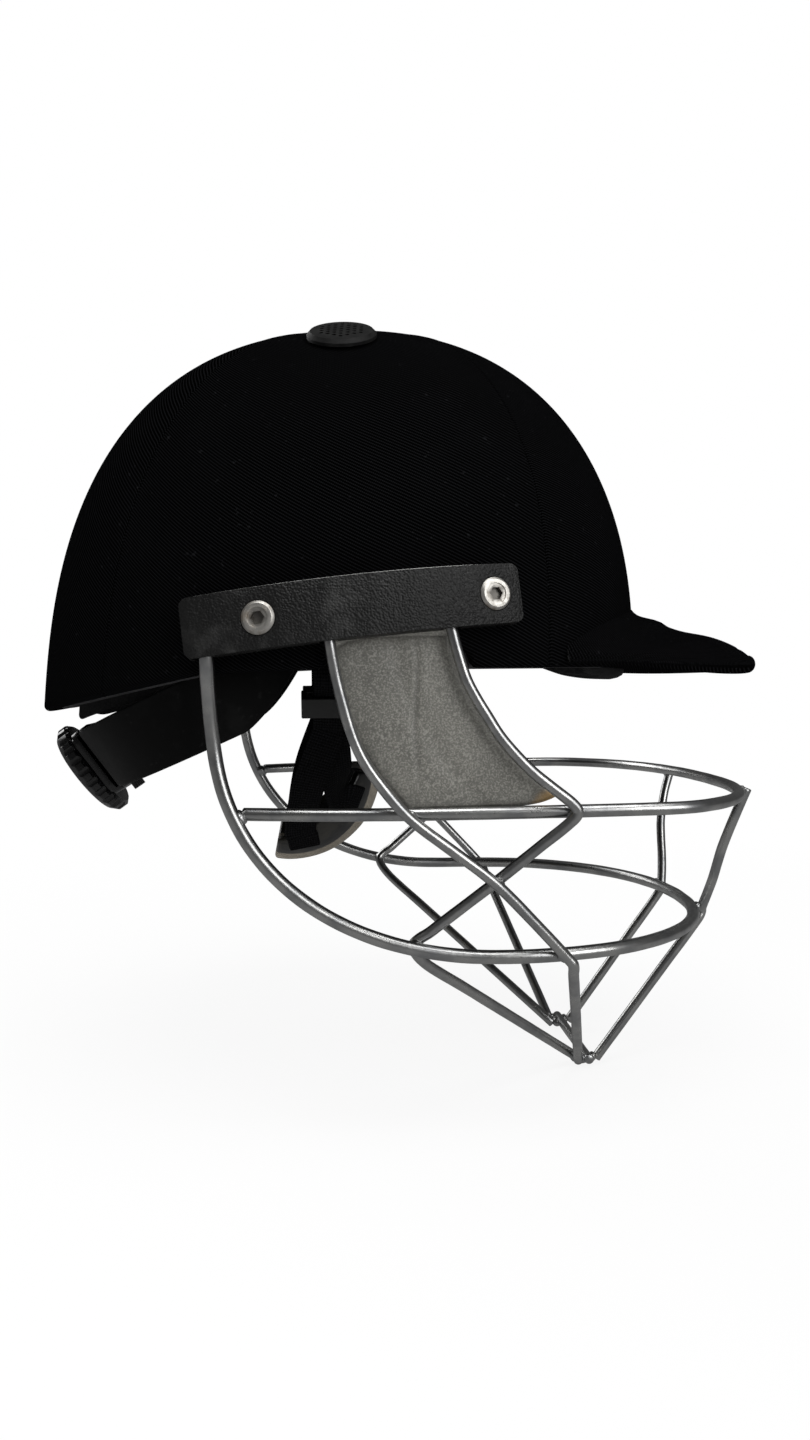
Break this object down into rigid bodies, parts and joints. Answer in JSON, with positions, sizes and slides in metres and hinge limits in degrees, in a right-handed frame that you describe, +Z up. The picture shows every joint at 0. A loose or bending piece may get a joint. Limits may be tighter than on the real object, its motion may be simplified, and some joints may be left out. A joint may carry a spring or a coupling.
{
  "type": "batting helmet with face guard",
  "caption": "Cloth-covered batting helmet with a peak, crown vents, a welded wire face guard screwed to its sides, foam ear guards, a dial harness and a chin strap.",
  "frame": {"origin": "middle of the head opening, in the plane where the shell meets the head", "axes": "+X to the front of the helmet, +Y to the wearer's left, +Z up"},
  "size_m": [0.3008, 0.222, 0.3076],
  "materials": {
    "shell_plastic": "satin",
    "cover_cloth": "matte",
    "board": "matte",
    "vent_rubber": "matte",
    "liner_foam": "matte",
    "pad_cloth": "matte",
    "plate_nylon": "satin",
    "strip_metal": "satin",
    "screw_steel": "satin",
    "guard_steel": "satin",
    "ear_foam": "satin",
    "stud_plastic": "satin",
    "band_plastic": "satin",
    "cover_plastic": "satin",
    "knob_plastic": "gloss",
    "webbing": "matte",
    "slider_plastic": "satin",
    "cup_foam": "matte",
    "cup_fleece": "matte"
  },
  "bodies": {
    "helmet": {"outer_shell": "shell_plastic", "front_cover_panel": "cover_cloth", "rear_cover_panel": "cover_cloth", "left_cover_panel": "cover_cloth", "right_cover_panel": "cover_cloth", "peak_board": "board", "peak_cover": "cover_cloth", "vent_caps": "vent_rubber", "foam_liner": "liner_foam", "brow_pad": "pad_cloth", "crown_pad": "pad_cloth", "rear_pad": "pad_cloth", "left_side_pad": "pad_cloth", "right_side_pad": "pad_cloth", "left_side_plate": "plate_nylon", "right_side_plate": "plate_nylon", "left_plate_strip": "strip_metal", "right_plate_strip": "strip_metal", "plate_screws": "screw_steel", "tee_nuts": "screw_steel", "lower_loop": "guard_steel", "top_ring": "guard_steel", "left_cheek_wire": "guard_steel", "right_cheek_wire": "guard_steel", "left_jaw_wire": "guard_steel", "right_jaw_wire": "guard_steel", "left_front_wire": "guard_steel", "right_front_wire": "guard_steel", "chin_bar": "guard_steel", "left_ear_guard": "ear_foam", "right_ear_guard": "ear_foam", "strap_rivets": "stud_plastic"},
    "harness": {"harness_rivets": "stud_plastic", "left_arm": "band_plastic", "right_arm": "band_plastic"},
    "cradle": {"ratchet_housing": "band_plastic", "ratchet_cover": "cover_plastic", "nape_pad": "pad_cloth"},
    "dial": {"dial_knob": "knob_plastic", "dial_pinion": "knob_plastic"},
    "chin_strap": {"left_webbing": "webbing", "right_webbing": "webbing", "strap_sliders": "slider_plastic", "chin_cup": "cup_foam", "cup_lining": "cup_fleece"}
  },
  "joints": [
    {"name": "harness_tilt", "type": "hinge", "parent": "helmet", "child": "harness", "pos_m": [-0.034, 0, 0.009], "axis": [0, 1, 0], "range_deg": [-8, 2]},
    {"name": "cradle_slide", "type": "slide", "parent": "harness", "child": "cradle", "axis": [0.9135, 0, 0.4067], "range_m": [0, 0.012], "deforming": ["left_arm", "right_arm"]},
    {"name": "dial_turn", "type": "hinge", "parent": "cradle", "child": "dial", "pos_m": [-0.09734, 0, -0.03432], "axis": [0.809, 0, 0.5878], "range_deg": [0, 154]},
    {"name": "chin_strap_swing", "type": "hinge", "parent": "helmet", "child": "chin_strap", "pos_m": [-0.004, 0, 0.013], "axis": [0, 1, 0], "range_deg": [-45, 25]}
  ],
  "couplings": [
    {"joint": "dial_turn", "follows": "cradle_slide", "rad_per_m": 222.22}
  ]
}
